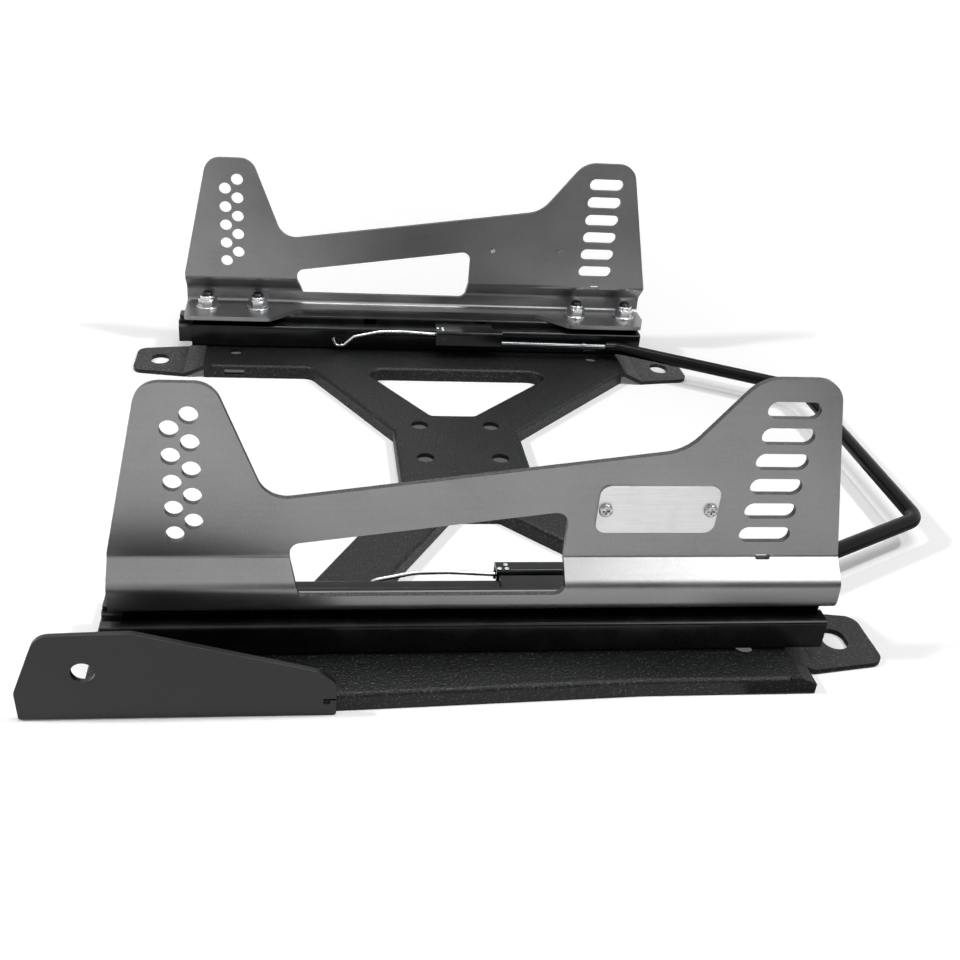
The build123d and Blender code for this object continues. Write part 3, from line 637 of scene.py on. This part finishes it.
class SEATMOUNT_OT_side_mounts(bpy.types.Operator):
    """Finishes the two perforated side mounts and their cut edges."""

    bl_idname = "seatmount.side_mounts"
    bl_label = "Side mounts"

    def execute(self, context):
        edge = context.scene.seat_mount.folded_edge
        for side in ("near", "far"):
            dressed("side_mount_" + side, edge, cut=True)
        return {"FINISHED"}


class SEATMOUNT_OT_fasteners(bpy.types.Operator):
    """Finishes the nuts and gives the studs their threads."""

    bl_idname = "seatmount.fasteners"
    bl_label = "Nuts and studs"

    def execute(self, context):
        edge = context.scene.seat_mount.small_edge
        dressed("mount_nuts", edge)
        tips = islands("mount_studs")
        if len(tips) != STUD_COUNT:
            raise RuntimeError(f"{STUD_COUNT} studs were expected, not {len(tips)}")
        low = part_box("mount_nuts")[0].z
        threads = joined("stud_threads", [threaded_stud(x, y, low, high) for x, y, _, high in tips])
        threads.data.materials.append(finish_for("stud_steel"))
        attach(threads, "carriage")
        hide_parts("mount_studs")
        return {"FINISHED"}


class SEATMOUNT_OT_badge(bpy.types.Operator):
    """Finishes the bare plate, its screws and the screw tails of the other side."""

    bl_idname = "seatmount.badge"
    bl_label = "Plate and screws"

    def execute(self, context):
        edge = context.scene.seat_mount.small_edge
        dressed("badge_plate", edge)
        dressed("badge_screws", edge, "screw_steel")
        dressed("far_screws", edge, "screw_steel")
        return {"FINISHED"}


class SEATMOUNT_OT_lock(bpy.types.Operator):
    """Finishes the levers, brackets, springs, pins and rivets of the lock."""

    bl_idname = "seatmount.lock"
    bl_label = "Lock levers"

    def execute(self, context):
        edge = context.scene.seat_mount.small_edge
        for side in ("near", "far"):
            dressed("lever_bracket_" + side, edge)
            dressed("lock_lever_" + side, edge)
            dressed("wire_spring_" + side, 0.0)
        dressed("pivot_pins", edge, "stud_steel")
        dressed("lever_rivets", edge)
        return {"FINISHED"}


class SEATMOUNT_OT_release(bpy.types.Operator):
    """Finishes the release bar and its two rods."""

    bl_idname = "seatmount.release"
    bl_label = "Release bar"

    def execute(self, context):
        edge = context.scene.seat_mount.small_edge
        dressed("release_bar", edge)
        for side in ("near", "far"):
            dressed("lever_rod_" + side, edge)
        return {"FINISHED"}


def camera_matrix():
    """The camera's place and turn: it starts level and faces +Y, then yaws, pitches and rolls. The
    rows of the turn are its right, down and forward."""
    cy, sy = math.cos(CAMERA_YAW), math.sin(CAMERA_YAW)
    cp, sp = math.cos(CAMERA_PITCH), math.sin(CAMERA_PITCH)
    cr, sr = math.cos(CAMERA_ROLL), math.sin(CAMERA_ROLL)
    level = np.array([[1, 0, 0], [0, 0, -1], [0, 1, 0]], float)
    turn_yaw = np.array([[cy, 0, -sy], [0, 1, 0], [sy, 0, cy]])
    turn_pitch = np.array([[1, 0, 0], [0, cp, -sp], [0, sp, cp]])
    turn_roll = np.array([[cr, -sr, 0], [sr, cr, 0], [0, 0, 1]])
    right, down, forward = turn_roll @ turn_pitch @ turn_yaw @ level
    matrix = Matrix.Identity(4)
    for row in range(3):
        matrix[row][0] = right[row]
        matrix[row][1] = -down[row]
        matrix[row][2] = -forward[row]
        matrix[row][3] = CAMERA_AT[row]
    return matrix


def lamp(name, at, towards, side, power):
    """A soft square lamp at a point, turned towards another."""
    data = bpy.data.lights.new(name, "AREA")
    data.shape = "RECTANGLE"
    data.size = data.size_y = side
    data.energy = power
    piece = placed(name, data)
    piece.location = at
    piece.rotation_euler = (Vector(towards) - Vector(at)).to_track_quat("-Z", "Y").to_euler()
    return piece


class SEATMOUNT_OT_stage(bpy.types.Operator):
    """Sets the floor, the soft studio light and the camera."""

    bl_idname = "seatmount.stage"
    bl_label = "Stage"

    def execute(self, context):
        looks = context.scene.seat_mount
        self.floor(looks)
        self.light(context.scene, looks)
        self.camera(context.scene)
        return {"FINISHED"}

    def floor(self, looks):
        """A flat square under the base. Over the paper's own light and shadow, the eye and the
        reflections see a white glow that grows with the distance from the object."""
        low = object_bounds()[0][2] - FLOOR_GAP
        material = bpy.data.materials.new("Matt_white_sweep")
        tree = emptied(material)
        place = add(tree, "TexCoord").outputs["Object"]
        away = add(tree, "VectorMath", {"operation": "LENGTH", 0: place}).outputs["Value"]
        level = add(tree, "MapRange", {"Value": away, "From Min": GLOW_FROM, "From Max": GLOW_TO,
                                       "To Min": looks.floor_glow, "To Max": 1.0})
        shown = add(tree, "Math", {"operation": "MULTIPLY", 0: white_to_eye(tree), 1: level})
        paper = add(tree, "BsdfDiffuse", {"Color": looks.floor_colour})
        glow = add(tree, "Emission", {"Color": WHITE, "Strength": shown})
        total = add(tree, "AddShader", {0: paper, 1: glow})
        add(tree, "OutputMaterial", {"Surface": total})
        half = FLOOR_HALF
        corners = [(-half, -half, low), (half, -half, low), (half, half, low), (-half, half, low)]
        piece = flat_sheet("studio_floor", corners, material)
        piece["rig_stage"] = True

    def light(self, scene, looks):
        """A dim even room that is white to the eye, three lamps that only reflections see, three
        that light only matt surfaces, and the cards."""
        world = bpy.data.worlds.new("Studio_room")
        tree = emptied(world)
        seen = white_to_eye(tree)
        room = add(tree, "Background", {"Color": WHITE, "Strength": looks.world_level})
        white = add(tree, "Background", {"Color": WHITE, "Strength": 1.0})
        mix = add(tree, "MixShader", {0: seen, 1: room, 2: white})
        add(tree, "OutputWorld", {"Surface": mix})
        scene.world = world
        mirrored = self.lamps(looks, LAMPS_FOR_REFLECTIONS)
        matt = self.lamps(looks, LAMPS_FOR_MATT)
        for piece in mirrored:
            piece.visible_diffuse = False
        for piece in matt:
            piece.visible_glossy = False
        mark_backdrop(*mirrored, *matt)
        name, across, along, colour = FLAG_CARD
        self.card(name, across, along, FLAG_HEIGHTS, colour)
        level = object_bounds()[0][2] + FLOOR_CARD_LIFT
        for name, across, along, colour in FLOOR_CARDS:
            self.card(name, across, along, (level, level), colour)

    def lamps(self, looks, rows):
        """A lamp for each row, with its share of the power that its setting gives."""
        return [lamp(name, at, towards, side, share * getattr(looks, power))
                for name, at, towards, side, power, share in rows]

    def card(self, name, across, along, heights, colour):
        """A flat card that only reflections see, from its front edge at the first y and height to
        its back edge at the second. The dark upright one draws the dark lines along folds, and the
        grey ones on the floor dim the far side mount."""
        (left, right), (front, back), (low, high) = across, along, heights
        material = bpy.data.materials.new(name + "_paper")
        tree = emptied(material)
        paper = add(tree, "BsdfDiffuse", {"Color": linear(colour)})
        add(tree, "OutputMaterial", {"Surface": paper})
        corners = [(left, front, low), (right, front, low), (right, back, high), (left, back, high)]
        piece = flat_sheet(name, corners, material)
        piece.visible_camera = False
        piece.visible_shadow = False
        piece.visible_diffuse = False
        piece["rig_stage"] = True

    def camera(self, scene):
        """A camera with the lens, shift and place that the photograph gives."""
        data = bpy.data.cameras.new("photo_camera")
        data.sensor_fit = "HORIZONTAL"
        data.sensor_width = SENSOR_MM
        data.lens = CAMERA_FOCAL_PX / IMAGE_PX * SENSOR_MM
        data.shift_x = (IMAGE_PX / 2 - CAMERA_CENTRE_PX[0]) / IMAGE_PX
        data.shift_y = (CAMERA_CENTRE_PX[1] - IMAGE_PX / 2) / IMAGE_PX
        data.clip_start = CAMERA_CLIP
        piece = placed("photo_camera", data)
        piece.matrix_world = camera_matrix()
        scene.camera = piece
        scene.view_settings.view_transform = "Standard"


class SEATMOUNT_PT_panel(bpy.types.Panel):
    """Lists the steps that dress the seat mount."""

    bl_idname = "SEATMOUNT_PT_panel"
    bl_label = "Seat mount"
    bl_space_type = "VIEW_3D"
    bl_region_type = "UI"
    bl_category = "Seat mount"

    def draw(self, context):
        looks = context.scene.seat_mount
        for prop in ("folded_edge", "small_edge", "floor_colour", "key_power", "second_power",
                     "side_power", "shadow_power", "world_level", "floor_glow"):
            self.layout.prop(looks, prop)
        for step in STEPS:
            self.layout.operator(step.bl_idname)


STEPS = (
    SEATMOUNT_OT_base,
    SEATMOUNT_OT_rails,
    SEATMOUNT_OT_side_mounts,
    SEATMOUNT_OT_fasteners,
    SEATMOUNT_OT_badge,
    SEATMOUNT_OT_lock,
    SEATMOUNT_OT_release,
    SEATMOUNT_OT_stage,
)
CLASSES = (SeatMountLooks, *STEPS, SEATMOUNT_PT_panel)


def register():
    """Adds the classes and the scene's settings."""
    for cls in CLASSES:
        bpy.utils.register_class(cls)
    bpy.types.Scene.seat_mount = PointerProperty(type=SeatMountLooks)


def unregister():
    """Takes them away again."""
    del bpy.types.Scene.seat_mount
    for cls in reversed(CLASSES):
        bpy.utils.unregister_class(cls)


def main():
    """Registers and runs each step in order."""
    register()
    ops = bpy.ops.seatmount
    ops.base()
    ops.rails()
    ops.side_mounts()
    ops.fasteners()
    ops.badge()
    ops.lock()
    ops.release()
    ops.stage()


if __name__ == "__main__":
    main()
